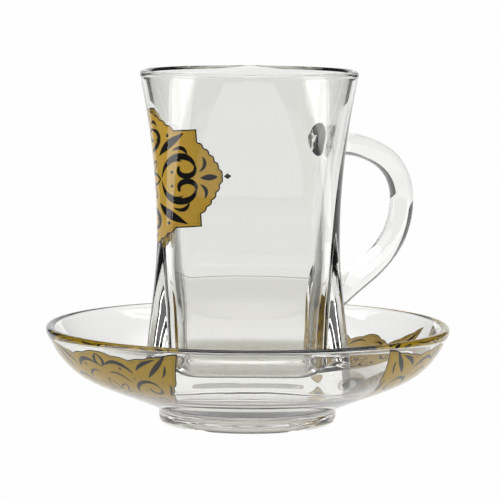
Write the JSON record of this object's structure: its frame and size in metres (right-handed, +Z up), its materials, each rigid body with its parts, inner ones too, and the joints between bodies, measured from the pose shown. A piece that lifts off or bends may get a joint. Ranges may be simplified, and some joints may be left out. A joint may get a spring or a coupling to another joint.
{
  "type": "turkish tea glass with saucer",
  "caption": "Clear glass tea cup, round at the rim and square at the base, with an ear handle, standing in a clear glass saucer with a foot ring.",
  "frame": {"origin": "middle of the saucer's foot, on the surface that it stands on", "axes": "+Z up along the axis of glass and saucer; the glass's faces look along X and Y, and the handle stands on the corner between +X and +Y"},
  "size_m": [0.1202, 0.1202, 0.1045],
  "materials": {
    "saucer_glass": "polished",
    "clear_glass": "polished"
  },
  "bodies": {
    "root": {"saucer": "saucer_glass", "tea_glass": "clear_glass"}
  },
  "joints": []
}
